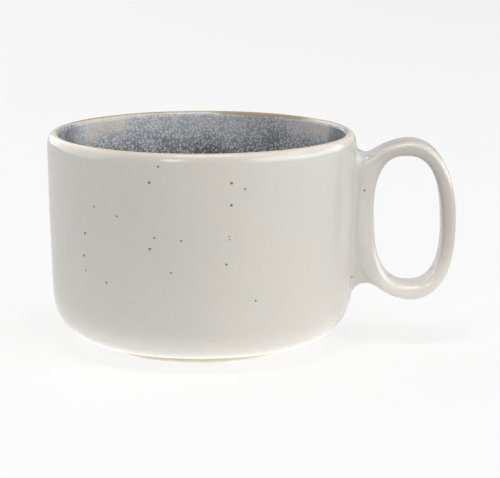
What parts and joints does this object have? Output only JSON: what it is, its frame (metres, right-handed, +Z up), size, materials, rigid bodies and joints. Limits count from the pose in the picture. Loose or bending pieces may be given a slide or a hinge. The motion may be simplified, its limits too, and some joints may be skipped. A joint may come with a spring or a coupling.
{
  "type": "soup mug",
  "caption": "Wide low stoneware soup mug with a rounded lower wall, a bare foot ring and a closed-loop strap handle, for holding hot soup.",
  "frame": {"origin": "on the cup's axis, in the plane of the foot ring's flat, where the mug stands on the table", "axes": "+Z up along the cup's axis, +X from the axis towards the handle, +Y to the cup's left side"},
  "size_m": [0.1586, 0.12, 0.0844],
  "materials": {
    "cup_clay": "bare fired stoneware, matt",
    "handle_clay": "bare fired stoneware, matt",
    "slip": "fired slip, matt",
    "pale_glaze": "satin glaze with iron specks",
    "pale_glaze_handle": "satin glaze with iron specks",
    "blue_grey_glaze": "glossy reactive glaze with pale flecks",
    "rim_brown": "thin glaze over clay, semi-gloss"
  },
  "bodies": {
    "root": {"cup_body": "cup_clay", "handle": "handle_clay", "joint_slip": "slip", "outer_glaze": "pale_glaze", "handle_glaze": "pale_glaze_handle", "liner_glaze": "blue_grey_glaze", "rim_band": "rim_brown"}
  },
  "joints": []
}
